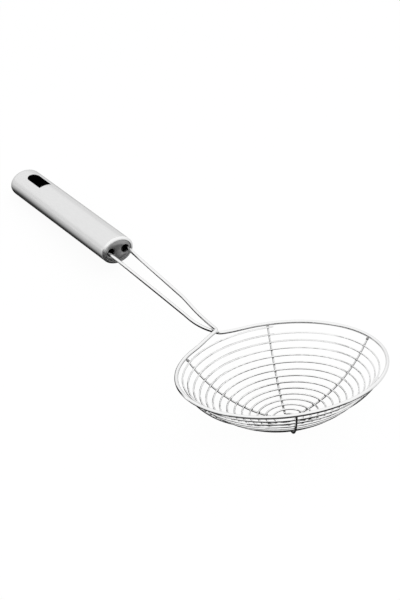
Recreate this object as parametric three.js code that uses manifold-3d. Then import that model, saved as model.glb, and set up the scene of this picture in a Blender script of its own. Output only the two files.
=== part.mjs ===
// Oil strainer: a spiral wire bowl on a crossed wire frame, with an oval pipe handle.
// Millimetres. Everything is drawn in the rim's own frame: the rim's centre line lies in z = 0 about the origin,
// the bowl hangs below it and the handle runs towards -X. The whole is then tipped, as the real one tips on a
// table, until it lies on two of its ribs and on the end of its handle. The origin is under its middle.

import * as THREE from "three";
import { mergeVertices } from "three/addons/utils/BufferGeometryUtils.js";
import Module from "manifold-3d";

// Wires
const RIM_RADIUS = 64; // centre line of the rim
const FRAME_WIRE = 2.3; // diameter of the wire that makes the rim and both legs
const RIB_WIRE = 1.2;
const SPIRAL_WIRE = 1.0;
const SEAT = 0.3; // clearance where one piece seats on another

// Bowl
const BOWL_DEPTH = 34; // rim plane to the spiral at the bottom
const BOWL_INSET = 3; // the top turn lies this far inside the rim's centre line
const BOWL_DROP = 1; // and this far below it
const SPIRAL_TURNS = 14;
const SPIRAL_EYE = 4.3; // radius where the spiral starts at the bottom
const SPIRAL_END_ANGLE = 150; // degrees round the bowl, from +X, where its outer end meets a rib
const RIB_LINES = [33.8, 87, 153.2]; // degrees from +X; a rib runs each way along each line
const RIB_EYE = 7; // radius where the ribs stop under the innermost turns
const REST_FLAT = 0.3; // depth of the worn flats that the bowl rests on

// Neck and legs
const NECK_GAP = 10.2; // rim's centre line to where the legs cross
const NECK_DISTANCE = RIM_RADIUS + NECK_GAP;
const NECK_REACH = 4; // the legs run on this far past the crossing before they turn into the rim
const NECK_BEND = 5; // bend radius of that turn
const CROSSING_RUN = 7; // the crossing wires stay one over the other this far each way
const CROSSING_FADE = 28; // and are level again this far away
const LEG_SPACING = 13.9; // centre to centre at the handle
const LEG_BEND = 40; // bend radius where a leg turns in towards the crossing
const NEAR_BEND_RUN = 18.8; // crossing to that bend, on the leg at -Y
const FAR_BEND_RUN = 43.8; // and on the leg at +Y
const BEND_SPACING = 10; // centre to centre of the legs at their bends
const LEG_RISE = 10.5; // degrees, legs above the rim plane
const LEG_RISE_RUN = 16; // length over which they take up that slope
const LEG_TAIL = 34; // length inside the handle

// Handle
const LEG_RUN = 115; // crossing to the handle's mouth, along the rim plane
const MOUTH_DISTANCE = NECK_DISTANCE + LEG_RUN;
const HANDLE_RISE = 6.8; // degrees above the rim plane
const HANDLE_LENGTH = 133.5;
const HANDLE_WIDTH = 24;
const HANDLE_HEIGHT = 19.2;
const HANDLE_WALL = 0.9;
const DOME_LENGTH = 7; // closed end
const DOME_SQUARENESS = 2.5; // superellipse power of the closed end
const LIP_RADIUS = 1.8; // rolled edge of the mouth
const LIP_INSET = 1.9; // the mouth's opening is this much inside the tube's outline
const SLOT_LENGTH = 20.7;
const SLOT_WIDTH = 9.4;
const SLOT_FROM_END = 14;

// Plug in the handle's mouth
const PLUG_RECESS = 0.4; // its face lies this far inside the mouth
const PLUG_WALL = 1.0;
const PLUG_LENGTH = 10;
const PLUG_HOLE_RADIUS = 3;

// Steps of the round forms
const SPIRAL_STEPS = 24; // per turn
const SPIRAL_SIDES = 6;
const RIB_STEPS = 20;
const RIB_SIDES = 6;
const FRAME_SIDES = 8;
const RIM_STEP_ANGLE = 5; // degrees
const BEND_STEPS = 6;
const LEG_STEP = 4; // length of a step where the legs rise and cross
const HANDLE_SIDES = 40;
const DOME_STEPS = 7;
const LIP_STEPS = 4;
const HOLE_SIDES = 24;
const TILT_SEARCH_STEPS = 40;

const wasm = await Module();
wasm.setup();

const radians = THREE.MathUtils.degToRad;
const UP = new THREE.Vector3(0, 0, 1);

// Bowl surface: a spherical cap that holds the spiral's centre line
const capRadius = RIM_RADIUS - BOWL_INSET;
const capDepth = BOWL_DEPTH - BOWL_DROP;
const bowlRadius = (capRadius ** 2 + capDepth ** 2) / (2 * capDepth);
const bowlCentre = bowlRadius - BOWL_DEPTH;
const capAngle = Math.asin(capRadius / bowlRadius);

// A point at an angle round the bowl and a polar angle from its bottom, on a sphere this far outside the cap
function bowlPoint(around, polar, outside) {
  const radius = bowlRadius + outside;
  const reach = radius * Math.sin(polar);
  return new THREE.Vector3(
    reach * Math.cos(around),
    reach * Math.sin(around),
    bowlCentre - radius * Math.cos(polar),
  );
}

// A closed round bar along a row of points, with flat ends and rings that don't twist
function sweepBar(points, diameter, sides) {
  const last = points.length - 1;
  const positions = [];
  const index = [];
  const side = new THREE.Vector3();
  points.forEach((point, i) => {
    const before = points[Math.max(i - 1, 0)];
    const after = points[Math.min(i + 1, last)];
    const along = after.clone().sub(before).normalize();
    if (i === 0) {
      side.crossVectors(along, UP).normalize();
    } else {
      side.addScaledVector(along, -side.dot(along)).normalize();
    }
    const other = along.clone().cross(side);
    for (let k = 0; k < sides; k += 1) {
      const turn = ((k + 0.5) * 2 * Math.PI) / sides;
      const corner = point.clone();
      corner.addScaledVector(side, (Math.cos(turn) * diameter) / 2);
      corner.addScaledVector(other, (Math.sin(turn) * diameter) / 2);
      positions.push(corner.x, corner.y, corner.z);
    }
  });
  for (let i = 0; i < last; i += 1) {
    for (let k = 0; k < sides; k += 1) {
      const a = i * sides + k;
      const b = i * sides + ((k + 1) % sides);
      index.push(a, b, b + sides, a, b + sides, a + sides);
    }
  }
  for (let k = 1; k < sides - 1; k += 1) {
    const end = last * sides;
    index.push(0, k + 1, k, end, end + k, end + k + 1);
  }
  return indexedGeometry(positions, index);
}

// A closed shell about the X axis through oval rings, between two points on the axis. The rings are given in the
// order that runs towards -X on the outside and towards +X on the inside.
function loftOval(startX, rings, endX) {
  const sides = HANDLE_SIDES;
  const positions = [];
  const index = [];
  rings.forEach((ring) => {
    for (let k = 0; k < sides; k += 1) {
      const turn = (k * 2 * Math.PI) / sides;
      positions.push(ring.x, ring.halfWidth * Math.cos(turn), ring.halfHeight * Math.sin(turn));
    }
  });
  const first = positions.length / 3;
  positions.push(startX, 0, 0, endX, 0, 0);
  for (let k = 0; k < sides; k += 1) {
    const next = (k + 1) % sides;
    for (let i = 0; i < rings.length - 1; i += 1) {
      const a = i * sides;
      const b = a + sides;
      index.push(a + k, b + next, a + next, a + k, b + k, b + next);
    }
    const end = (rings.length - 1) * sides;
    index.push(first, k, next, first + 1, end + next, end + k);
  }
  return indexedGeometry(positions, index);
}

function indexedGeometry(positions, index) {
  const geometry = new THREE.BufferGeometry();
  geometry.setAttribute("position", new THREE.Float32BufferAttribute(positions, 3));
  geometry.setIndex(index);
  return geometry;
}

function toSolid(geometry) {
  const bare = geometry.clone();
  bare.deleteAttribute("normal");
  bare.deleteAttribute("uv");
  const merged = mergeVertices(bare);
  const vertProperties = new Float32Array(merged.attributes.position.array);
  const triVerts = new Uint32Array(merged.index.array);
  return new wasm.Manifold(new wasm.Mesh({ numProp: 3, vertProperties, triVerts }));
}

function toGeometry(solid) {
  const mesh = solid.getMesh();
  return indexedGeometry(Array.from(mesh.vertProperties), Array.from(mesh.triVerts));
}

function subtract(geometry, ...tools) {
  const cut = tools.reduce((solid, tool) => solid.subtract(toSolid(tool)), toSolid(geometry));
  return toGeometry(cut);
}

// Spiral: one wire with an even pitch along the bowl's surface, wound inwards from its outer end
function spiralPoints() {
  const steps = SPIRAL_TURNS * SPIRAL_STEPS;
  const eyeAngle = Math.asin(SPIRAL_EYE / bowlRadius);
  const points = [];
  for (let i = 0; i <= steps; i += 1) {
    const around = radians(SPIRAL_END_ANGLE) + (i * 2 * Math.PI) / SPIRAL_STEPS;
    const polar = THREE.MathUtils.lerp(capAngle, eyeAngle, i / steps);
    points.push(bowlPoint(around, polar, 0));
  }
  return points;
}

// Least clear space between one turn of the spiral and the next, measured on its centre-line points
function leastTurnGap(points) {
  let least = Infinity;
  for (let i = 0; i < points.length; i += 1) {
    for (let j = i + SPIRAL_STEPS / 2; j < points.length; j += 1) {
      least = Math.min(least, points[i].distanceTo(points[j]));
    }
  }
  return least - SPIRAL_WIRE;
}

// Rib: an arc under the spiral, from beneath its innermost turns up to the outside of the rim
const ribOutside = SPIRAL_WIRE / 2 + SEAT + RIB_WIRE / 2;
const rimSeat = FRAME_WIRE / 2 + SEAT + RIB_WIRE / 2;

function ribTopAngle() {
  const sphere = bowlRadius + ribOutside;
  const toRim = Math.hypot(RIM_RADIUS, bowlCentre);
  const rimAngle = Math.atan2(RIM_RADIUS, bowlCentre);
  const cosine = (sphere ** 2 + toRim ** 2 - rimSeat ** 2) / (2 * sphere * toRim);
  return rimAngle - Math.acos(Math.min(cosine, 1));
}

function ribPoints(around) {
  const low = Math.asin(RIB_EYE / (bowlRadius + ribOutside));
  const high = ribTopAngle();
  const points = [];
  for (let i = 0; i <= RIB_STEPS; i += 1) {
    points.push(bowlPoint(around, THREE.MathUtils.lerp(low, high, i / RIB_STEPS), ribOutside));
  }
  return points;
}

// Frame wire in plan: a leg, its bend, the crossing, the turn into the rim and the point where it joins the circle
function legPlan(sideSign, bendRun) {
  const mouth = new THREE.Vector2(-MOUTH_DISTANCE, (sideSign * LEG_SPACING) / 2);
  const tail = new THREE.Vector2(-MOUTH_DISTANCE - LEG_TAIL, mouth.y);
  const bend = new THREE.Vector2(crossing.x - bendRun, (sideSign * BEND_SPACING) / 2);
  const heading = crossing.clone().sub(bend).normalize();
  const corner = crossing.clone().addScaledVector(heading, NECK_REACH);
  const tangentSwing = Math.acos(RIM_RADIUS / corner.length());
  const joinAngle = Math.atan2(corner.y, corner.x) + sideSign * tangentSwing;
  const join = rimPoint(joinAngle);
  const legArc = roundCorner(mouth, bend, corner, LEG_BEND);
  const neckArc = roundCorner(bend, corner, join, NECK_BEND);
  const run = between(legArc.at(-1), neckArc[0]);
  const lead = between(neckArc.at(-1), join);
  return { joinAngle, points: [tail, mouth, ...legArc, ...run, ...neckArc, ...lead, join] };
}

const crossing = new THREE.Vector2(-NECK_DISTANCE, 0);

function rimPoint(angle) {
  return new THREE.Vector2(Math.cos(angle), Math.sin(angle)).multiplyScalar(RIM_RADIUS);
}

// The arc of a bend of a given radius at a corner between two straight runs
function roundCorner(from, corner, to, radius) {
  const into = from.clone().sub(corner).normalize();
  const out = to.clone().sub(corner).normalize();
  const halfAngle = Math.acos(into.dot(out)) / 2;
  const middle = into.clone().add(out).setLength(radius / Math.sin(halfAngle)).add(corner);
  const start = into.clone().multiplyScalar(radius / Math.tan(halfAngle)).add(corner);
  const sense = Math.sign(start.clone().sub(middle).cross(corner.clone().sub(middle)));
  const turn = sense * (Math.PI - 2 * halfAngle);
  const points = [];
  for (let i = 0; i <= BEND_STEPS; i += 1) {
    points.push(start.clone().rotateAround(middle, (turn * i) / BEND_STEPS));
  }
  return points;
}

// Evenly spaced points inside a straight run
function between(from, to) {
  const count = Math.ceil(from.distanceTo(to) / LEG_STEP);
  const points = [];
  for (let i = 1; i < count; i += 1) {
    points.push(from.clone().lerp(to, i / count));
  }
  return points;
}

// Height of the legs above the rim plane at a distance from the rim's centre
function legHeight(distance) {
  const out = Math.max(Math.min(distance, MOUTH_DISTANCE) - NECK_DISTANCE, 0);
  const bent = Math.min(out, LEG_RISE_RUN);
  const slope = Math.tan(radians(LEG_RISE));
  const inside = Math.max(distance - MOUTH_DISTANCE, 0);
  return slope * (bent ** 2 / (2 * LEG_RISE_RUN) + out - bent) + inside * Math.tan(radians(HANDLE_RISE));
}

// A stretch of the frame wire with its height; at the crossing one stretch lies over the other
function raise(plan, level) {
  const step = (level * (FRAME_WIRE + SEAT)) / 2;
  return plan.map((point) => {
    const away = point.distanceTo(crossing);
    const near = 1 - THREE.MathUtils.smoothstep(away, CROSSING_RUN, CROSSING_FADE);
    return new THREE.Vector3(point.x, point.y, legHeight(-point.x) + step * near);
  });
}

// Frame wire: the leg at +Y over the crossing, round the rim, and under the crossing as the leg at -Y
function framePoints() {
  const over = legPlan(1, FAR_BEND_RUN);
  const under = legPlan(-1, NEAR_BEND_RUN);
  const sweep = under.joinAngle - over.joinAngle;
  const half = Math.round(sweep / radians(RIM_STEP_ANGLE) / 2);
  for (let i = 1; i <= half; i += 1) {
    over.points.push(rimPoint(over.joinAngle + (sweep * i) / (2 * half)));
    if (i < half) {
      under.points.push(rimPoint(under.joinAngle - (sweep * i) / (2 * half)));
    }
  }
  return [...raise(over.points, 1), ...raise(under.points, -1).reverse()];
}

// Handle, drawn along +X from its mouth to its closed end
function ovalRing(x, inset) {
  return { x, halfWidth: HANDLE_WIDTH / 2 - inset, halfHeight: HANDLE_HEIGHT / 2 - inset };
}

function domeRings(inset) {
  const rings = [];
  for (let i = 1; i <= DOME_STEPS; i += 1) {
    const angle = (i * Math.PI) / 2 / DOME_STEPS;
    const size = Math.sin(angle) ** (2 / DOME_SQUARENESS);
    const height = Math.max(Math.cos(angle), 0) ** (2 / DOME_SQUARENESS);
    const full = ovalRing(HANDLE_LENGTH - DOME_LENGTH + (DOME_LENGTH - inset) * height, inset);
    rings.push({ x: full.x, halfWidth: full.halfWidth * size, halfHeight: full.halfHeight * size });
  }
  return rings;
}

function lipRings(inset) {
  const rings = [];
  for (let i = 0; i <= LIP_STEPS; i += 1) {
    const angle = (i * Math.PI) / 2 / LIP_STEPS;
    const radius = LIP_RADIUS - inset;
    rings.push(ovalRing(LIP_RADIUS - radius * Math.sin(angle), LIP_RADIUS - radius * Math.cos(angle)));
  }
  return rings;
}

function handleTube() {
  const lip = [...lipRings(0), ovalRing(0, LIP_INSET), ovalRing(HANDLE_WALL, LIP_INSET)];
  const outside = [...domeRings(0), ...lip];
  const inside = [...lipRings(HANDLE_WALL).reverse(), ...domeRings(HANDLE_WALL).reverse()];
  const tube = loftOval(HANDLE_LENGTH, [...outside, ...inside], HANDLE_LENGTH - HANDLE_WALL);
  return subtract(tube, slotTool());
}

// Hanging slot: square towards the mouth, round towards the closed end, through both walls
function slotTool() {
  const half = SLOT_WIDTH / 2;
  const end = HANDLE_LENGTH - SLOT_FROM_END;
  const shape = new THREE.Shape();
  shape.moveTo(end - SLOT_LENGTH, half);
  shape.lineTo(end - SLOT_LENGTH, -half);
  shape.absarc(end - half, 0, half, -Math.PI / 2, Math.PI / 2);
  const tool = new THREE.ExtrudeGeometry(shape, { depth: 2 * HANDLE_HEIGHT, bevelEnabled: false });
  return tool.translate(0, 0, -HANDLE_HEIGHT);
}

// Plug: a stepped cup behind the rolled lip, with its face in the mouth and a hole for each leg
function frontPlug() {
  const flange = HANDLE_WALL + SEAT;
  const skirt = HANDLE_WALL + SEAT;
  const cup = [
    ovalRing(flange + PLUG_WALL, skirt + PLUG_WALL),
    ovalRing(PLUG_LENGTH, skirt + PLUG_WALL),
    ovalRing(PLUG_LENGTH, skirt),
    ovalRing(flange + LIP_RADIUS - HANDLE_WALL, skirt),
    ovalRing(flange, LIP_INSET + SEAT + (LIP_RADIUS - HANDLE_WALL) / 2),
    ovalRing(flange, LIP_INSET + SEAT),
    ovalRing(PLUG_RECESS, LIP_INSET + SEAT),
  ];
  const plug = loftOval(flange + PLUG_WALL, cup, PLUG_RECESS);
  const holeCentre = LEG_SPACING / 2 + FRAME_WIRE / 2 + SEAT - PLUG_HOLE_RADIUS;
  const holes = [-holeCentre, holeCentre].map((y) => {
    const hole = new THREE.CylinderGeometry(PLUG_HOLE_RADIUS, PLUG_HOLE_RADIUS, 2 * PLUG_LENGTH, HOLE_SIDES);
    return hole.rotateZ(Math.PI / 2).translate(0, y, 0);
  });
  return subtract(plug, ...holes);
}

// Resting: the tilt at which the ribs' flats and the handle's end stand on one plane
function lowest(geometries, matrix) {
  const corner = new THREE.Vector3();
  let low = Infinity;
  geometries.forEach((geometry) => {
    const place = geometry.attributes.position;
    for (let i = 0; i < place.count; i += 1) {
      low = Math.min(low, corner.fromBufferAttribute(place, i).applyMatrix4(matrix).z);
    }
  });
  return low;
}

function restTilt(ribs, handle) {
  let level = 0;
  let steep = Math.PI / 4;
  for (let i = 0; i < TILT_SEARCH_STEPS; i += 1) {
    const tilt = (level + steep) / 2;
    const matrix = new THREE.Matrix4().makeRotationY(-tilt);
    if (lowest([handle], matrix) > lowest(ribs, matrix) + REST_FLAT) {
      level = tilt;
    } else {
      steep = tilt;
    }
  }
  return steep;
}

// The space under the table, in the rim's frame
function tableBlock(matrix, height) {
  const size = 4 * RIM_RADIUS;
  const block = new THREE.BoxGeometry(size, size, RIM_RADIUS);
  return block.translate(0, 0, height - RIM_RADIUS / 2).applyMatrix4(matrix.clone().invert());
}

const polishedSteel = { color: 0xd8dadb, roughness: 0.22, metalness: 1 };
const satinSteel = { color: 0xdcdddd, roughness: 0.34, metalness: 1 };
const dullSteel = { color: 0x6e7073, roughness: 0.5, metalness: 1 };

function addPiece(group, name, geometry, finish) {
  geometry.computeVertexNormals();
  const piece = new THREE.Mesh(geometry, new THREE.MeshStandardMaterial(finish));
  piece.name = name;
  group.add(piece);
  return piece;
}

const strainer = new THREE.Group();
const handle = new THREE.Group();
handle.position.set(-MOUTH_DISTANCE, 0, legHeight(MOUTH_DISTANCE));
handle.rotation.set(0, radians(HANDLE_RISE), Math.PI);
strainer.add(handle);

const tube = addPiece(handle, "handle_tube", handleTube(), satinSteel);
addPiece(handle, "front_plug", frontPlug(), dullSteel);
addPiece(strainer, "frame_wire", sweepBar(framePoints(), FRAME_WIRE, FRAME_SIDES), polishedSteel);

const windings = spiralPoints();
addPiece(strainer, "spiral_wire", sweepBar(windings, SPIRAL_WIRE, SPIRAL_SIDES), polishedSteel);
console.log(`least gap between the spiral's turns: ${leastTurnGap(windings).toFixed(2)} mm`);

const ribAngles = [...RIB_LINES, ...RIB_LINES.map((line) => line + 180)];
const ribs = ribAngles.map((angle) => sweepBar(ribPoints(radians(angle)), RIB_WIRE, RIB_SIDES));
handle.updateMatrix();
const placedTube = tube.geometry.clone().applyMatrix4(handle.matrix);
const tilt = restTilt(ribs, placedTube);
const tipped = new THREE.Matrix4().makeRotationY(-tilt);
const table = tableBlock(tipped, lowest(ribs, tipped) + REST_FLAT);
ribs.forEach((rib, i) => {
  addPiece(strainer, `rib_wire_${i + 1}`, subtract(rib, table), polishedSteel);
});

strainer.rotation.y = -tilt;
const part = new THREE.Group();
part.add(strainer);
part.updateMatrixWorld(true);
const box = new THREE.Box3().setFromObject(strainer, true);
const middle = box.getCenter(new THREE.Vector3());
strainer.position.set(-middle.x, -middle.y, -box.min.z);

export default part;
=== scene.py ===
"""Oil strainer: a spiral wire bowl on a crossed wire frame, with an oval pipe handle.

Metres. The wires are drawn in the rim's own frame: the rim's centre line lies in z = 0 about the origin, the bowl
hangs below it and the handle runs towards -X. The rim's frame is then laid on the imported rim, which is tipped as
the strainer tips on a table.
"""

import math

import bmesh
import bpy
import numpy as np
from mathutils import Matrix, Vector


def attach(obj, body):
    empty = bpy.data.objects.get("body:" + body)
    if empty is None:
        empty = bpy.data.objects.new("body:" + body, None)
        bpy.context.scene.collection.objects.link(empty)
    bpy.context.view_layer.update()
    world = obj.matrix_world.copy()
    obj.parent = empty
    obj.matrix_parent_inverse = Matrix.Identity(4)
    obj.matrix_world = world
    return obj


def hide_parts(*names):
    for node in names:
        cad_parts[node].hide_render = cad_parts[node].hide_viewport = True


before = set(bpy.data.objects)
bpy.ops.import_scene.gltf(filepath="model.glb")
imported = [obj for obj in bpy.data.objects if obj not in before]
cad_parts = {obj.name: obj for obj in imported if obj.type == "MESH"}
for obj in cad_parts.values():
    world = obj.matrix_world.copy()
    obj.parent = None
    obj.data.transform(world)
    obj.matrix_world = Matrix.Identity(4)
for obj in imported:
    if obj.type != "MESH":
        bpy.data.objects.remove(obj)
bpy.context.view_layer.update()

MM = 0.001

# Wires; the rim is 0.08 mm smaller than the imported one, whose flat-sided wire reaches a little less far
RIM_RADIUS = 63.92 * MM
FRAME_WIRE = 2.3 * MM
RIB_WIRE = 1.2 * MM
SPIRAL_WIRE = 1.0 * MM
SEAT = 0.3 * MM

# Bowl
BOWL_DEPTH = 34 * MM
BOWL_INSET = 3 * MM
BOWL_DROP = 1 * MM
SPIRAL_TURNS = 14
SPIRAL_EYE = 4.3 * MM
SPIRAL_END_ANGLE = math.radians(150)
RIB_LINES = [math.radians(angle) for angle in (33.8, 87, 153.2)]
RIB_ANGLES = RIB_LINES + [line + math.pi for line in RIB_LINES]
RIB_EYE = 7 * MM

# Neck and legs, with the crossing in plan
NECK_DISTANCE = RIM_RADIUS + 10.2 * MM
CROSSING = Vector((-NECK_DISTANCE, 0))
NECK_REACH = 4 * MM
NECK_BEND = 5 * MM
CROSSING_RUN = 7 * MM
CROSSING_FADE = 28 * MM
LEG_SPACING = 13.9 * MM
LEG_BEND = 40 * MM
NEAR_BEND_RUN = 18.8 * MM
FAR_BEND_RUN = 43.8 * MM
BEND_SPACING = 10 * MM
LEG_RISE = math.radians(10.5)
LEG_RISE_RUN = 16 * MM
LEG_TAIL = 34 * MM

# Handle and plug
MOUTH_DISTANCE = NECK_DISTANCE + 115 * MM
HANDLE_RISE = math.radians(6.8)
HANDLE_LENGTH = 133.5 * MM
HANDLE_WIDTH = 24 * MM
HANDLE_HEIGHT = 19.2 * MM
HANDLE_WALL = 0.9 * MM
DOME_LENGTH = 7 * MM
DOME_SQUARENESS = 2.5
LIP_RADIUS = 1.8 * MM
LIP_INSET = 1.9 * MM
SLOT_LENGTH = 20.7 * MM
SLOT_WIDTH = 9.4 * MM
SLOT_FROM_END = 14 * MM
SLOT_EDGE = 0.25 * MM
PLUG_RECESS = 0.4 * MM
PLUG_WALL = 1.0 * MM
PLUG_LENGTH = 10 * MM
PLUG_HOLE_RADIUS = 3 * MM
PLUG_EDGE = 0.3 * MM

# Welds
WELD_BEAD = Vector((0.8, 0.8, 0.62)) * MM
RIM_BEAD = Vector((1.0, 1.0, 0.9)) * MM
NECK_BEAD = Vector((3.2, 1.5, 1.1)) * MM

# Grain of the steel
STREAK_DETAIL = 3
SMUDGE_DETAIL = 2
GRAIN_RANGE = (0.3, 0.7)
GRAIN_DEPTH = 0.05 * MM

# Places in the handle's list of materials: the inner wall's painted shade and the lip's painted highlight; and how
# squarely its inner wall faces the axis
INSIDE_SHADE = 1
LIP_HIGHLIGHT = 2
INSIDE_FACING = -0.7

# Stage: a shade is a row of greys, each at a distance from a dark strip of the floor, as a share of CARD_REACH; the
# strips are painted shadow and painted dark reflections, seen only in the metal
FLOOR_SIZE = 4
FLOOR_GREY = 0.9
FLOOR_ROUGHNESS = 0.9
FLOOR_GLOW = 0.94
CARD_RADIUS = 1.2
CARD_LIFT = 0.05 * MM
CARD_REACH = 200 * MM
HANDLE_SHADE = ((0.0, 0.01), (0.08, 0.03), (0.15, 0.42), (0.25, 0.6), (0.6, 0.72), (1.0, 0.8))
LEG_SHADE = ((0.0, 0.01), (0.15, 0.02), (0.22, 0.6), (0.4, 1.0))
BOWL_SHADE = ((0.0, 0.01), (0.2, 0.02), (0.32, 0.55), (0.5, 1.0))
LOW_FLAG_SHADE = ((0.0, 0.01), (0.2, 0.02), (0.3, 1.0))
HIGH_FLAG_SHADE = ((0.0, 0.01), (0.3, 0.02), (0.42, 1.0))
HANDLE_STRIP = (Vector((-0.19, 0, 0)), Vector((-0.06, 0, 0)))
LEG_STRIP = (Vector((-0.03, -0.01, 0)), Vector((0.03, -0.01, 0)))
SIDE_STRIP = (Vector((-0.05, -0.05, 0)), Vector((0.04, -0.05, 0)))
UNDER_STRIP = (Vector((0.11, -0.01, 0)), Vector((0.24, 0.03, 0)))
FRONT_STRIP = (Vector((0.12, -0.1, 0)), Vector((0.24, 0.02, 0)))
# Flags of painted dark reflection, seen only in the metal: they darken the lower edges of the legs and the near rim
LEG_FLAG = (Vector((-0.075, -0.08, 0)), Vector((0.04, -0.08, 0)))
FRONT_FLAG = (Vector((0.184, -0.16, 0)), Vector((0.331, 0.067, 0)))
# Painted shadow on the floor under the handle, legs and bowl, seen only in reflections
PAINTED_FLOOR_SHADOW = (
    (HANDLE_STRIP, HANDLE_SHADE),
    (LEG_STRIP, LEG_SHADE),
    (SIDE_STRIP, LEG_SHADE),
    (UNDER_STRIP, BOWL_SHADE),
    (FRONT_STRIP, BOWL_SHADE),
)
REFLECTION_FLAGS = ((LEG_FLAG, LOW_FLAG_SHADE), (FRONT_FLAG, HIGH_FLAG_SHADE))

# Greys of the sky by height, and the lamps: name, place, size and energy
WORLD_BANDS = ((0.0, 0.8), (0.22, 0.85), (0.32, 0.97), (1.0, 1.0))
SOFT_BOXES = (
    ("top_box", (0.8, 0.65, 1.1), 1.1, 4.4),
    ("front_box", (1.3, -0.85, 1.5), 1.4, 7.2),
)

# Edges sharper than SHARP_ANGLE show as edges, and cut edges sharper than EDGE_ANGLE are rounded
SHARP_ANGLE = math.radians(25)
EDGE_ANGLE = math.radians(40)

# Steps of the round forms
EDGE_SEGMENTS = 2
FRAME_ROUNDNESS = 6
THIN_ROUNDNESS = 4
SPIRAL_STEPS = 72
RIB_STEPS = 48
RIM_STEP = math.radians(1.5)
BEND_STEPS = 16
LEG_STEP = 1.5 * MM
OVAL_SIDES = 128
DOME_STEPS = 16
LIP_STEPS = 8
TUBE_STEPS = 46
SLOT_STEPS = 24
HOLE_SIDES = 64
CARD_SIDES = 64
BEAD_SIDES = (10, 7)
NECK_BEAD_SIDES = (24, 16)

# Camera, as fitted to the photograph's 400 x 600 frame
PHOTO_HEIGHT = 600
FOCAL_PIXELS = 2053
CAMERA_AZIMUTH = math.radians(56.73)
CAMERA_ELEVATION = math.radians(33.72)
CAMERA_DISTANCE = 1.3
SENSOR_HEIGHT = 36
AIM_FROM_RIM = Vector((-88.26, -0.87, 0)) * MM


def rim_frame():
    """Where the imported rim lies: its tilt from the slope of its front half, its centre from its front edge."""
    rim = np.array([corner.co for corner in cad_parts["frame_wire"].data.vertices])
    front = rim[rim[:, 0] > rim[:, 0].max() - RIM_RADIUS]
    slope, level = np.polyfit(front[:, 0], front[:, 2], 1)
    tilt = math.atan(slope)
    ahead = front[:, 0] * math.cos(tilt) + front[:, 2] * math.sin(tilt)
    reach = ahead.max() - RIM_RADIUS - FRAME_WIRE / 2
    rise = level * math.cos(tilt)
    turned = Matrix.Rotation(-tilt, 4, "Y")
    return turned @ Matrix.Translation((reach, 0, rise))


RIM_PLACE = rim_frame()
RIM_CENTRE = RIM_PLACE.translation

# Bowl surface: a spherical cap that holds the spiral's centre line
CAP_RADIUS = RIM_RADIUS - BOWL_INSET
CAP_DEPTH = BOWL_DEPTH - BOWL_DROP
BOWL_RADIUS = (CAP_RADIUS**2 + CAP_DEPTH**2) / (2 * CAP_DEPTH)
BOWL_CENTRE = BOWL_RADIUS - BOWL_DEPTH
CAP_ANGLE = math.asin(CAP_RADIUS / BOWL_RADIUS)
EYE_ANGLE = math.asin(SPIRAL_EYE / BOWL_RADIUS)

# The ribs lie on a sphere outside the spiral, from near the bottom of the bowl up to their seat under the rim
RIB_OUTSIDE = SPIRAL_WIRE / 2 + SEAT + RIB_WIRE / 2
RIB_SPHERE = BOWL_RADIUS + RIB_OUTSIDE
RIB_LOW_ANGLE = math.asin(RIB_EYE / RIB_SPHERE)
RIM_SEAT = FRAME_WIRE / 2 + SEAT + RIB_WIRE / 2


def mix(low, high, share):
    return low + (high - low) * share


def smoothstep(value, low, high):
    share = min(max((value - low) / (high - low), 0), 1)
    return share * share * (3 - 2 * share)


def bowl_point(around, polar, outside):
    """A point at an angle round the bowl and a polar angle from its bottom, on a sphere this far outside the cap."""
    radius = BOWL_RADIUS + outside
    reach = radius * math.sin(polar)
    return Vector((reach * math.cos(around), reach * math.sin(around), BOWL_CENTRE - radius * math.cos(polar)))


def spiral_points():
    """The spiral's centre line, from its outer end inwards."""
    steps = SPIRAL_TURNS * SPIRAL_STEPS
    points = []
    for i in range(steps + 1):
        around = SPIRAL_END_ANGLE + i * 2 * math.pi / SPIRAL_STEPS
        points.append(bowl_point(around, mix(CAP_ANGLE, EYE_ANGLE, i / steps), 0))
    return points


def rib_top_angle():
    """The polar angle at which a rib comes to its seat under the rim."""
    to_rim = math.hypot(RIM_RADIUS, BOWL_CENTRE)
    rim_angle = math.atan2(RIM_RADIUS, BOWL_CENTRE)
    cosine = (RIB_SPHERE**2 + to_rim**2 - RIM_SEAT**2) / (2 * RIB_SPHERE * to_rim)
    return rim_angle - math.acos(min(cosine, 1))


def rib_points(around):
    high = rib_top_angle()
    polars = [mix(RIB_LOW_ANGLE, high, i / RIB_STEPS) for i in range(RIB_STEPS + 1)]
    return [bowl_point(around, polar, RIB_OUTSIDE) for polar in polars]


# Frame wire in plan


def rim_point(angle):
    return RIM_RADIUS * Vector((math.cos(angle), math.sin(angle)))


def between(start, end):
    count = math.ceil((end - start).length / LEG_STEP)
    return [start.lerp(end, i / count) for i in range(1, count)]


def round_corner(start, corner, end, radius):
    """The arc of a bend of a given radius at a corner between two straight runs."""
    into = (start - corner).normalized()
    out = (end - corner).normalized()
    half_angle = math.acos(into.dot(out)) / 2
    middle = corner + (into + out).normalized() * radius / math.sin(half_angle)
    first = corner + into * radius / math.tan(half_angle) - middle
    inward = corner - middle
    sense = math.copysign(1, first.x * inward.y - first.y * inward.x)
    turn = sense * (math.pi - 2 * half_angle)
    return [middle + Matrix.Rotation(turn * i / BEND_STEPS, 2) @ first for i in range(BEND_STEPS + 1)]


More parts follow.
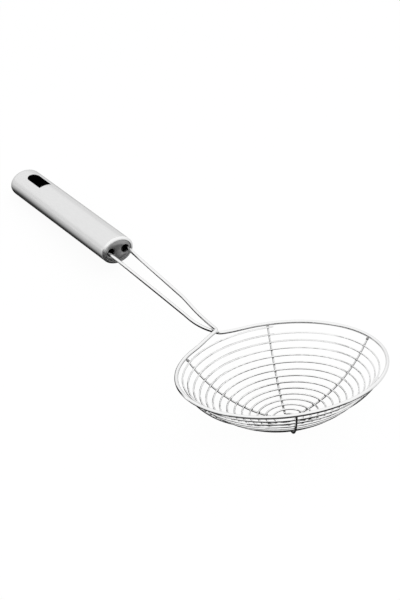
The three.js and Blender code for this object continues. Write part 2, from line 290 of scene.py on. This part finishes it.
def leg_plan(side, bend_run):
    """A leg, its bend, the crossing and the turn into the rim, with the angle where it joins the rim's circle."""
    mouth = Vector((-MOUTH_DISTANCE, side * LEG_SPACING / 2))
    tail = mouth - Vector((LEG_TAIL, 0))
    bend = CROSSING + Vector((-bend_run, side * BEND_SPACING / 2))
    corner = CROSSING + (CROSSING - bend).normalized() * NECK_REACH
    swing = math.acos(RIM_RADIUS / corner.length)
    join_angle = math.atan2(corner.y, corner.x) + side * swing
    join = rim_point(join_angle)
    leg_arc = round_corner(mouth, bend, corner, LEG_BEND)
    neck_arc = round_corner(bend, corner, join, NECK_BEND)
    points = [tail, *between(tail, mouth), mouth, *between(mouth, leg_arc[0]), *leg_arc]
    points += [*between(leg_arc[-1], neck_arc[0]), *neck_arc, *between(neck_arc[-1], join), join]
    return join_angle, points


def leg_height(distance):
    """How high the frame wire lies at a distance behind the rim's centre."""
    out = max(min(distance, MOUTH_DISTANCE) - NECK_DISTANCE, 0)
    bent = min(out, LEG_RISE_RUN)
    inside = max(distance - MOUTH_DISTANCE, 0)
    climb = math.tan(LEG_RISE) * (bent**2 / (2 * LEG_RISE_RUN) + out - bent)
    return climb + inside * math.tan(HANDLE_RISE)


def raised(plan, level):
    """A stretch of the frame wire with its height; at the crossing one stretch lies over the other."""
    step = level * (FRAME_WIRE + SEAT) / 2
    points = []
    for spot in plan:
        near = 1 - smoothstep((spot - CROSSING).length, CROSSING_RUN, CROSSING_FADE)
        points.append(Vector((spot.x, spot.y, leg_height(-spot.x) + step * near)))
    return points


def frame_points():
    over_angle, over = leg_plan(1, FAR_BEND_RUN)
    under_angle, under = leg_plan(-1, NEAR_BEND_RUN)
    sweep = under_angle - over_angle
    half = round(sweep / RIM_STEP / 2)
    for i in range(1, half + 1):
        over.append(rim_point(over_angle + sweep * i / (2 * half)))
        if i < half:
            under.append(rim_point(under_angle - sweep * i / (2 * half)))
    return raised(over, 1) + raised(under, -1)[::-1]


# Making pieces


def new_object(name, data):
    made = bpy.data.objects.new(name, data)
    bpy.context.scene.collection.objects.link(made)
    return made


def add_piece(name, mesh, materials, replaced=()):
    """A finished mesh becomes a piece that rides on the strainer's one body."""
    piece = new_object(name, mesh)
    for material in materials:
        mesh.materials.append(material)
    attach(piece, "root")
    if replaced:
        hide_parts(*replaced)
    return piece


def wire_mesh(name, points, diameter, roundness):
    """A round bar with flat ends along a row of points of the rim's frame."""
    curve = bpy.data.curves.new(name, "CURVE")
    curve.dimensions = "3D"
    curve.bevel_depth = diameter / 2
    curve.bevel_resolution = roundness
    curve.use_fill_caps = True
    spline = curve.splines.new("POLY")
    spline.points.add(len(points) - 1)
    for knot, point in zip(spline.points, points):
        knot.co = (*point, 1)
    rod = new_object(name, curve)
    bpy.context.view_layer.update()
    mesh = bpy.data.meshes.new_from_object(rod)
    bpy.data.objects.remove(rod)
    bpy.data.curves.remove(curve)
    mesh.transform(RIM_PLACE)
    smooth(mesh)
    return mesh


def smooth(mesh):
    """Smooth shading, with the flat faces beside a rounded edge left flat."""
    mesh.shade_smooth()
    mesh.set_sharp_from_angle(angle=SHARP_ANGLE)


def oval_ring(x, inset):
    """A ring of the handle: its place along the handle, its half width and its half height."""
    return Vector((x, HANDLE_WIDTH / 2 - inset, HANDLE_HEIGHT / 2 - inset))


def only(kind, items):
    return [item for item in items if isinstance(item, kind)]


def oval_shell(rings):
    """A closed shell about the X axis: one oval edge loop extruded from ring to ring, filled at both ends."""
    bm = bmesh.new()
    bmesh.ops.create_circle(bm, segments=OVAL_SIDES, radius=1)
    bmesh.ops.rotate(bm, matrix=Matrix.Rotation(math.pi / 2, 3, "Y"), verts=bm.verts)
    first = rings[0]
    bmesh.ops.scale(bm, vec=(1, first.y, first.z), verts=bm.verts)
    bmesh.ops.translate(bm, vec=(first.x, 0, 0), verts=bm.verts)
    loop = list(bm.edges)
    bmesh.ops.holes_fill(bm, edges=loop)
    for before, ring in zip(rings, rings[1:]):
        grown = bmesh.ops.extrude_edge_only(bm, edges=loop)["geom"]
        corners = only(bmesh.types.BMVert, grown)
        loop = only(bmesh.types.BMEdge, grown)
        bmesh.ops.scale(bm, vec=(1, ring.y / before.y, ring.z / before.z), verts=corners)
        bmesh.ops.translate(bm, vec=(ring.x - before.x, 0, 0), verts=corners)
    bmesh.ops.holes_fill(bm, edges=loop)
    bmesh.ops.recalc_face_normals(bm, faces=bm.faces)
    return bm


def dome_rings(inset):
    rings = []
    for i in range(1, DOME_STEPS + 1):
        angle = i * math.pi / 2 / DOME_STEPS
        size = math.sin(angle) ** (2 / DOME_SQUARENESS)
        height = max(math.cos(angle), 0) ** (2 / DOME_SQUARENESS)
        full = oval_ring(HANDLE_LENGTH - DOME_LENGTH + (DOME_LENGTH - inset) * height, inset)
        rings.append(Vector((full.x, full.y * size, full.z * size)))
    return rings


def lip_rings(inset):
    rings = []
    radius = LIP_RADIUS - inset
    for i in range(LIP_STEPS + 1):
        angle = i * math.pi / 2 / LIP_STEPS
        rings.append(oval_ring(LIP_RADIUS - radius * math.sin(angle), LIP_RADIUS - radius * math.cos(angle)))
    return rings


def tube_rings(inset):
    length = HANDLE_LENGTH - DOME_LENGTH - LIP_RADIUS
    return [oval_ring(LIP_RADIUS + length * i / TUBE_STEPS, inset) for i in range(TUBE_STEPS - 1, 0, -1)]


def handle_place():
    """From the handle's own frame, with its mouth at the origin and its closed end along +X, to the strainer's."""
    lift = Matrix.Translation((-MOUTH_DISTANCE, 0, leg_height(MOUTH_DISTANCE)))
    turn = Matrix.Rotation(HANDLE_RISE, 4, "Y") @ Matrix.Rotation(math.pi, 4, "Z")
    return RIM_PLACE @ lift @ turn


def to_mesh(bm, name):
    mesh = bpy.data.meshes.new(name)
    bm.to_mesh(mesh)
    bm.free()
    return mesh


def cut(mesh, cutters, edge_width):
    """The mesh with each cutter taken out of it and the new edges rounded, as a fresh mesh."""
    block = new_object("blank", mesh)
    tools = []
    for cutter in cutters:
        tool = new_object("cutter", cutter)
        taken = block.modifiers.new("cut", "BOOLEAN")
        taken.operation = "DIFFERENCE"
        taken.solver = "EXACT"
        taken.object = tool
        tools.append(tool)
    rounding = block.modifiers.new("edge", "BEVEL")
    rounding.width = edge_width
    rounding.segments = EDGE_SEGMENTS
    rounding.limit_method = "ANGLE"
    rounding.angle_limit = EDGE_ANGLE
    bpy.context.view_layer.update()
    done = block.evaluated_get(bpy.context.evaluated_depsgraph_get())
    result = bpy.data.meshes.new_from_object(done)
    for gone in [block, *tools]:
        bpy.data.objects.remove(gone)
    return result


def slot_cutter():
    """Hanging slot: square towards the mouth, round towards the closed end, through both walls."""
    half = SLOT_WIDTH / 2
    end = HANDLE_LENGTH - SLOT_FROM_END
    square = end - SLOT_LENGTH
    low = -HANDLE_HEIGHT
    middle = Vector((end - half, 0, low))
    bm = bmesh.new()
    start = bm.verts.new((middle.x, -half, low))
    arc = bmesh.ops.spin(bm, geom=[start], cent=middle, axis=(0, 0, 1), angle=math.pi, steps=SLOT_STEPS)
    last = only(bmesh.types.BMVert, arc["geom_last"])[0]
    left = bm.verts.new((square, half, low))
    right = bm.verts.new((square, -half, low))
    for pair in ((last, left), (left, right), (right, start)):
        bm.edges.new(pair)
    bottom = bmesh.ops.contextual_create(bm, geom=list(bm.edges))["faces"]
    grown = bmesh.ops.extrude_face_region(bm, geom=bottom)["geom"]
    bmesh.ops.translate(bm, vec=(0, 0, 2 * HANDLE_HEIGHT), verts=only(bmesh.types.BMVert, grown))
    bmesh.ops.recalc_face_normals(bm, faces=bm.faces)
    return to_mesh(bm, "slot_cutter")


def hole_cutter(y):
    bm = bmesh.new()
    bmesh.ops.create_cone(
        bm,
        cap_ends=True,
        segments=HOLE_SIDES,
        radius1=PLUG_HOLE_RADIUS,
        radius2=PLUG_HOLE_RADIUS,
        depth=4 * PLUG_LENGTH,
    )
    bmesh.ops.rotate(bm, matrix=Matrix.Rotation(math.pi / 2, 3, "Y"), verts=bm.verts)
    bmesh.ops.translate(bm, vec=(0, y, 0), verts=bm.verts)
    return to_mesh(bm, "hole_cutter")


def handle_mesh():
    """The oval pipe: its outside from the dome to the lip, then its inside back to the dome, with the slot cut."""
    lip = [*lip_rings(0), oval_ring(0, LIP_INSET), oval_ring(HANDLE_WALL, LIP_INSET)]
    outside = [*dome_rings(0), *tube_rings(0), *lip]
    inside = [*lip_rings(HANDLE_WALL)[::-1], *tube_rings(HANDLE_WALL)[::-1], *dome_rings(HANDLE_WALL)[::-1]]
    blank = to_mesh(oval_shell(outside + inside), "handle_blank")
    return cut(blank, [slot_cutter()], SLOT_EDGE)


def plug_mesh():
    """A stepped cup that fills the mouth behind the rolled lip, with a hole round each leg."""
    flange = HANDLE_WALL + SEAT
    cup = [
        oval_ring(flange + PLUG_WALL, flange + PLUG_WALL),
        oval_ring(PLUG_LENGTH, flange + PLUG_WALL),
        oval_ring(PLUG_LENGTH, flange),
        oval_ring(flange + LIP_RADIUS - HANDLE_WALL, flange),
        oval_ring(flange, LIP_INSET + SEAT + (LIP_RADIUS - HANDLE_WALL) / 2),
        oval_ring(flange, LIP_INSET + SEAT),
        oval_ring(PLUG_RECESS, LIP_INSET + SEAT),
    ]
    offset = LEG_SPACING / 2 + FRAME_WIRE / 2 + SEAT - PLUG_HOLE_RADIUS
    blank = to_mesh(oval_shell(cup), "plug_blank")
    return cut(blank, [hole_cutter(-offset), hole_cutter(offset)], PLUG_EDGE)


# Node helpers


def feed(tree, sockets, values):
    """Gives each input in turn its value, which is a socket or a plain number, vector or colour."""
    for socket, value in zip(sockets, values):
        if isinstance(value, bpy.types.NodeSocket):
            tree.links.new(value, socket)
        else:
            socket.default_value = value


def calculate(tree, operation, first, second):
    """A maths node on two values, each a socket or a plain number."""
    node = tree.nodes.new("ShaderNodeMath")
    node.operation = operation
    feed(tree, node.inputs, (first, second))
    return node.outputs["Value"]


def vector_step(tree, operation, first, second):
    """A vector maths node on two vectors, each a socket or a plain vector."""
    node = tree.nodes.new("ShaderNodeVectorMath")
    node.operation = operation
    feed(tree, node.inputs, (first, second))
    return node.outputs


def blend_colours(tree, share, first, second):
    """A colour between two others, each a socket or a plain colour."""
    node = tree.nodes.new("ShaderNodeMix")
    node.data_type = "RGBA"
    colours = [socket for socket in node.inputs if socket.type == "RGBA"]
    feed(tree, (node.inputs["Factor"], *colours), (share, first, second))
    return next(socket for socket in node.outputs if socket.type == "RGBA")


def grey_bands(tree, value, bands):
    """Greys that follow a value from 0 to 1, one stop for each band."""
    ramp = tree.nodes.new("ShaderNodeValToRGB")
    stops = ramp.color_ramp.elements
    stops.remove(stops[1])
    for place, grey in bands:
        stop = stops.new(place) if place > 0 else stops[0]
        stop.color = (grey, grey, grey, 1)
    tree.links.new(value, ramp.inputs["Fac"])
    return ramp.outputs["Color"]


def noise(tree, place, detail):
    """Noise with about one blotch to each unit of its coordinates."""
    blotches = tree.nodes.new("ShaderNodeTexNoise")
    blotches.inputs["Scale"].default_value = 1
    blotches.inputs["Detail"].default_value = detail
    tree.links.new(place, blotches.inputs["Vector"])
    return blotches.outputs["Fac"]


# Finishes


def group_input(group, kind, name, value):
    socket = group.interface.new_socket(name, in_out="INPUT", socket_type=kind)
    socket.default_value = value


def steel_grain():
    """Shared grain of the steel finishes: fine streaks over soft smudges, as a colour, a roughness and a height."""
    group = bpy.data.node_groups.new("steel_grain", "ShaderNodeTree")
    group_input(group, "NodeSocketVector", "Streaks", (0, 0, 0))
    group_input(group, "NodeSocketVector", "Smudges", (0, 0, 0))
    group_input(group, "NodeSocketColor", "Dark Tone", (0.5, 0.5, 0.5, 1))
    group_input(group, "NodeSocketColor", "Light Tone", (0.8, 0.8, 0.8, 1))
    group_input(group, "NodeSocketFloat", "Smooth", 0.1)
    group_input(group, "NodeSocketFloat", "Rough", 0.3)
    for kind, name in (
        ("NodeSocketColor", "Colour"),
        ("NodeSocketFloat", "Roughness"),
        ("NodeSocketFloat", "Height"),
    ):
        group.interface.new_socket(name, in_out="OUTPUT", socket_type=kind)
    given = group.nodes.new("NodeGroupInput").outputs
    result = group.nodes.new("NodeGroupOutput").inputs
    streaks = noise(group, given["Streaks"], STREAK_DETAIL)
    smudges = noise(group, given["Smudges"], SMUDGE_DETAIL)
    colour = blend_colours(group, streaks, given["Dark Tone"], given["Light Tone"])
    average = calculate(group, "MULTIPLY", calculate(group, "ADD", streaks, smudges), 0.5)
    finish = group.nodes.new("ShaderNodeMapRange")
    feed(group, finish.inputs, (average, *GRAIN_RANGE, given["Smooth"], given["Rough"]))
    group.links.new(colour, result["Colour"])
    group.links.new(finish.outputs["Result"], result["Roughness"])
    group.links.new(streaks, result["Height"])
    return group


GRAIN = steel_grain()


def scaled_place(tree, scale, turn=0.0):
    """Object coordinates, turned about Y to lie along the piece and scaled to a grain."""
    place = tree.nodes.new("ShaderNodeTexCoord")
    mapping = tree.nodes.new("ShaderNodeMapping")
    mapping.inputs["Rotation"].default_value = (0, turn, 0)
    mapping.inputs["Scale"].default_value = scale
    tree.links.new(place.outputs["Object"], mapping.inputs["Vector"])
    return mapping.outputs["Vector"]


def even(scale):
    return (scale, scale, scale)


def steel(name, tones, roughness, streaks, smudges, bump, turn=0.0):
    """A steel between two greys and two roughnesses, with a grain of so many streaks and smudges a metre."""
    material = bpy.data.materials.new(name)
    material.use_nodes = True
    tree = material.node_tree
    shader = tree.nodes["Principled BSDF"]
    shader.inputs["Metallic"].default_value = 1
    grain = tree.nodes.new("ShaderNodeGroup")
    grain.node_tree = GRAIN
    for tone, grey in zip(("Dark Tone", "Light Tone"), tones):
        grain.inputs[tone].default_value = (*even(grey), 1)
    for limit, value in zip(("Smooth", "Rough"), roughness):
        grain.inputs[limit].default_value = value
    tree.links.new(scaled_place(tree, streaks, turn), grain.inputs["Streaks"])
    tree.links.new(scaled_place(tree, smudges, turn), grain.inputs["Smudges"])
    relief = tree.nodes.new("ShaderNodeBump")
    relief.inputs["Strength"].default_value = bump
    relief.inputs["Distance"].default_value = GRAIN_DEPTH
    tree.links.new(grain.outputs["Colour"], shader.inputs["Base Color"])
    tree.links.new(grain.outputs["Roughness"], shader.inputs["Roughness"])
    tree.links.new(grain.outputs["Height"], relief.inputs["Height"])
    tree.links.new(relief.outputs["Normal"], shader.inputs["Normal"])
    return material


handle_axis = handle_place().to_3x3() @ Vector((-1, 0, 0))
HANDLE_PITCH = math.atan2(handle_axis.z, handle_axis.x)

polished_wire = steel("polished_wire", (0.89, 0.97), (0.03, 0.08), even(900), even(90), bump=0.03)
rib_wire = steel("rib_wire", (0.7, 0.84), (0.16, 0.26), even(900), even(90), bump=0.08)
satin_tube = steel(
    "satin_tube", (0.74, 0.84), (0.13, 0.22), (40, 2600, 2600), (25, 90, 90), bump=0.12, turn=HANDLE_PITCH
)
# Painted highlight: the rolled lip and the slot's cut edges are paler than the tube's steel
painted_lip_highlight = steel("painted_lip_highlight", (0.89, 0.97), (0.35, 0.45), even(900), even(90), bump=0.05)
dull_plug = steel("dull_plug", (0.4, 0.54), (0.46, 0.58), even(1500), even(160), bump=0.15)
weld_steel = steel("weld_steel", (0.25, 0.5), (0.3, 0.5), even(1800), even(300), bump=0.4)
# Painted shade: the pipe's inner wall is near black and has no gloss, standing in for the shade inside the tube
painted_shade_inside = steel("painted_shade_inside", (0.002, 0.006), (0.8, 1.0), even(600), even(60), bump=0.1)
for gloss in ("Metallic", "Specular IOR Level"):
    painted_shade_inside.node_tree.nodes["Principled BSDF"].inputs[gloss].default_value = 0

# The strainer's pieces


def spiral_polar(around):
    """Polar angles at which the spiral passes an angle round the bowl, from its outer end inwards."""
    first = ((around - SPIRAL_END_ANGLE) % (2 * math.pi)) / (2 * math.pi)
    return [mix(CAP_ANGLE, EYE_ANGLE, (first + turn) / SPIRAL_TURNS) for turn in range(SPIRAL_TURNS)]


def oval_ball(bm, size, sides):
    around, up = sides
    ball = bmesh.ops.create_uvsphere(bm, u_segments=around, v_segments=up, radius=1)["verts"]
    bmesh.ops.scale(bm, vec=size, verts=ball)
    return ball


def weld_mesh(bm, name):
    """Welds drawn in the rim's frame, laid on the strainer."""
    mesh = to_mesh(bm, name)
    mesh.transform(RIM_PLACE)
    mesh.shade_smooth()
    return mesh


def add_bead(bm, spot, size):
    """A weld bead: a small ball, squashed a little along the bowl's normal."""
    bead = oval_ball(bm, size, BEAD_SIDES)
    out = (spot - Vector((0, 0, BOWL_CENTRE))).normalized()
    turn = out.to_track_quat("Z", "Y").to_matrix()
    bmesh.ops.rotate(bm, matrix=turn, verts=bead)
    bmesh.ops.translate(bm, vec=spot, verts=bead)


def crossing_welds():
    """A bead wherever the spiral lies on a rib, and one where each rib meets the rim."""
    bm = bmesh.new()
    middle = (SPIRAL_WIRE + SEAT) / 2
    for around in RIB_ANGLES:
        for polar in spiral_polar(around):
            if polar > RIB_LOW_ANGLE:
                add_bead(bm, bowl_point(around, polar, middle), WELD_BEAD)
        add_bead(bm, bowl_point(around, rib_top_angle(), RIB_OUTSIDE), RIM_BEAD)
    return weld_mesh(bm, "crossing_welds")


def neck_weld():
    """The weld between the two wires where the legs cross."""
    bm = bmesh.new()
    bead = oval_ball(bm, NECK_BEAD, NECK_BEAD_SIDES)
    bmesh.ops.translate(bm, vec=CROSSING.to_3d(), verts=bead)
    return weld_mesh(bm, "neck_weld")


def rib_mesh(around):
    """A rib, worn flat where the bowl stands on the table."""
    mesh = wire_mesh("bowl_rib", rib_points(around), RIB_WIRE, THIN_ROUNDNESS)
    bm = bmesh.new()
    bm.from_mesh(mesh)
    bmesh.ops.remove_doubles(bm, verts=bm.verts, dist=RIB_WIRE / 1000)
    bmesh.ops.bisect_plane(
        bm,
        geom=[*bm.verts, *bm.edges, *bm.faces],
        plane_co=(0, 0, 0),
        plane_no=(0, 0, 1),
        clear_inner=True,
    )
    bmesh.ops.holes_fill(bm, edges=[edge for edge in bm.edges if edge.is_boundary])
    bm.to_mesh(mesh)
    bm.free()
    return mesh


def paint_tube_shade_and_highlight(mesh):
    """Paints the tube's inner wall black as its shade, and its lip and cut edges pale as a highlight, while it lies
    along X.
    """
    dome_start = HANDLE_LENGTH - DOME_LENGTH
    for face in mesh.polygons:
        spot = face.center
        from_axis = spot - Vector((min(spot.x, dome_start), 0, 0))
        facing = face.normal.dot(from_axis.normalized())
        if spot.x > LIP_RADIUS and facing < INSIDE_FACING:
            face.material_index = INSIDE_SHADE
        elif spot.x < LIP_RADIUS or face.area < SLOT_EDGE**2:
            face.material_index = LIP_HIGHLIGHT


add_piece(
    "rim_and_legs",
    wire_mesh("rim_and_legs", frame_points(), FRAME_WIRE, FRAME_ROUNDNESS),
    [polished_wire],
    ["frame_wire"],
)
add_piece(
    "spiral_winding",
    wire_mesh("spiral_winding", spiral_points(), SPIRAL_WIRE, THIN_ROUNDNESS),
    [polished_wire],
    ["spiral_wire"],
)
for number, around in enumerate(RIB_ANGLES, 1):
    add_piece(f"bowl_rib_{number}", rib_mesh(around), [rib_wire], [f"rib_wire_{number}"])
add_piece("crossing_welds", crossing_welds(), [weld_steel])
add_piece("neck_weld", neck_weld(), [polished_wire])

pipe = handle_mesh()
paint_tube_shade_and_highlight(pipe)
plug = plug_mesh()
for name, mesh, materials, slot, node in (
    ("pipe_handle", pipe, [satin_tube, painted_shade_inside, painted_lip_highlight], "handle_steel", "handle_tube"),
    ("mouth_plug", plug, [dull_plug], "plug_steel", "front_plug"),
):
    mesh.transform(handle_place())
    smooth(mesh)
    add_piece(name, mesh, materials, [node])

# Stage


def seen_rays(tree):
    """1 for the rays that show the background: the camera's, and those in reflections and through glass."""
    path = tree.nodes.new("ShaderNodeLightPath")
    mirrored = calculate(tree, "MAXIMUM", path.outputs["Is Glossy Ray"], path.outputs["Is Transmission Ray"])
    return calculate(tree, "MAXIMUM", path.outputs["Is Camera Ray"], mirrored)


def floor_material():
    """White paint that mostly glows by itself where it is seen, so that it keeps a faint shadow."""
    material = bpy.data.materials.new("studio_floor")
    material.use_nodes = True
    tree = material.node_tree
    paint = tree.nodes["Principled BSDF"]
    paint.inputs["Base Color"].default_value = (*even(FLOOR_GREY), 1)
    paint.inputs["Roughness"].default_value = FLOOR_ROUGHNESS
    white = tree.nodes.new("ShaderNodeEmission")
    blend = tree.nodes.new("ShaderNodeMixShader")
    glow_share = calculate(tree, "MULTIPLY", seen_rays(tree), FLOOR_GLOW)
    feed(tree, blend.inputs, (glow_share, paint.outputs["BSDF"], white.outputs["Emission"]))
    tree.links.new(blend.outputs["Shader"], tree.nodes["Material Output"].inputs["Surface"])
    return material


def add_floor():
    bm = bmesh.new()
    bmesh.ops.create_grid(bm, x_segments=1, y_segments=1, size=FLOOR_SIZE)
    floor = new_object("floor", to_mesh(bm, "floor"))
    floor.data.materials.append(floor_material())


def strip_shade(tree, place, start, end, bands):
    """Greys that grow paler with the distance from a strip of the floor between two points."""
    run = end - start
    across = vector_step(tree, "SUBTRACT", place, start)["Vector"]
    along = vector_step(tree, "DOT_PRODUCT", across, run / run.length_squared)["Value"]
    inside = calculate(tree, "MINIMUM", calculate(tree, "MAXIMUM", along, 0), 1)
    nearest = tree.nodes.new("ShaderNodeCombineXYZ")
    for axis, size in zip("XY", run):
        tree.links.new(calculate(tree, "MULTIPLY", inside, size), nearest.inputs[axis])
    reach = vector_step(tree, "DISTANCE", across, nearest.outputs["Vector"])["Value"]
    return grey_bands(tree, calculate(tree, "DIVIDE", reach, CARD_REACH), bands)


def card_material(name, strips):
    """Black along each of its strips, paler with the distance from them."""
    material = bpy.data.materials.new(name)
    material.use_nodes = True
    tree = material.node_tree
    tree.nodes.remove(tree.nodes["Principled BSDF"])
    glow = tree.nodes.new("ShaderNodeEmission")
    place = tree.nodes.new("ShaderNodeTexCoord").outputs["Object"]
    darkest = 1
    for strip, bands in strips:
        darkest = calculate(tree, "MINIMUM", darkest, strip_shade(tree, place, *strip, bands))
    tree.links.new(darkest, glow.inputs["Strength"])
    tree.links.new(glow.outputs["Emission"], tree.nodes["Material Output"].inputs["Surface"])
    return material


def add_card(name, bm, strips):
    """A glowing card that only reflections see, dark along its strips: painted shadow and painted dark reflections
    in the metal.
    """
    card = new_object(name, to_mesh(bm, name))
    card.data.materials.append(card_material(name, strips))
    card.visible_camera = False
    card.visible_diffuse = False
    card.visible_shadow = False
    card.visible_transmission = False


def add_reflectors():
    """A dark card on the floor, which paints the strainer's shadow into reflections, and low flags beside the legs
    and in front of the bowl, which paint dark reflections.
    """
    bm = bmesh.new()
    bmesh.ops.create_circle(bm, cap_ends=True, segments=CARD_SIDES, radius=CARD_RADIUS)
    bmesh.ops.translate(bm, vec=(0, 0, CARD_LIFT), verts=bm.verts)
    add_card("painted_floor_shadow", bm, PAINTED_FLOOR_SHADOW)
    bm = bmesh.new()
    for (start, end), bands in REFLECTION_FLAGS:
        last_band = bands[-1][0] * CARD_REACH
        margin = (end - start).normalized() * last_band
        foot = [start - margin, end + margin]
        rise = Vector((0, 0, last_band))
        bm.faces.new([bm.verts.new(corner) for corner in (*foot, foot[1] + rise, foot[0] + rise)])
    add_card("painted_reflection_flags", bm, REFLECTION_FLAGS)


def add_world():
    """White to the camera; in reflections and as light it grows a little greyer towards the horizon."""
    world = bpy.data.worlds.new("studio")
    bpy.context.scene.world = world
    world.use_nodes = True
    tree = world.node_tree
    sky = tree.nodes["Background"]
    place = tree.nodes.new("ShaderNodeTexCoord")
    split = tree.nodes.new("ShaderNodeSeparateXYZ")
    tree.links.new(place.outputs["Generated"], split.inputs["Vector"])
    path = tree.nodes.new("ShaderNodeLightPath")
    bands = grey_bands(tree, split.outputs["Z"], WORLD_BANDS)
    white = (1, 1, 1, 1)
    tree.links.new(blend_colours(tree, path.outputs["Is Camera Ray"], bands, white), sky.inputs["Color"])
    sky.inputs["Strength"].default_value = 1


def add_lights():
    """Large soft boxes, one overhead and one above the camera; the metal mirrors the white studio, not the boxes."""
    for name, place, size, energy in SOFT_BOXES:
        box = bpy.data.lights.new(name, "AREA")
        box.size = size
        box.energy = energy
        lamp = new_object(name, box)
        lamp.location = place
        lamp.visible_glossy = False
        lamp.rotation_euler = Vector(place).to_track_quat("Z", "Y").to_euler()


def add_camera():
    """The photograph's camera, aimed at a point behind the rim's centre."""
    aim = RIM_CENTRE + AIM_FROM_RIM
    flat = math.cos(CAMERA_ELEVATION)
    away = Vector((math.sin(CAMERA_AZIMUTH) * flat, -math.cos(CAMERA_AZIMUTH) * flat, math.sin(CAMERA_ELEVATION)))
    lens = bpy.data.cameras.new("camera")
    lens.sensor_fit = "VERTICAL"
    lens.sensor_height = SENSOR_HEIGHT
    lens.lens = FOCAL_PIXELS / PHOTO_HEIGHT * SENSOR_HEIGHT
    camera = new_object("camera", lens)
    camera.location = aim + away * CAMERA_DISTANCE
    camera.rotation_euler = (-away).to_track_quat("-Z", "Y").to_euler()
    bpy.context.scene.camera = camera


add_floor()
add_reflectors()
add_world()
add_lights()
add_camera()
bpy.context.scene.view_settings.view_transform = "Standard"


def corners(box):
    return [list(corner) for corner in box]
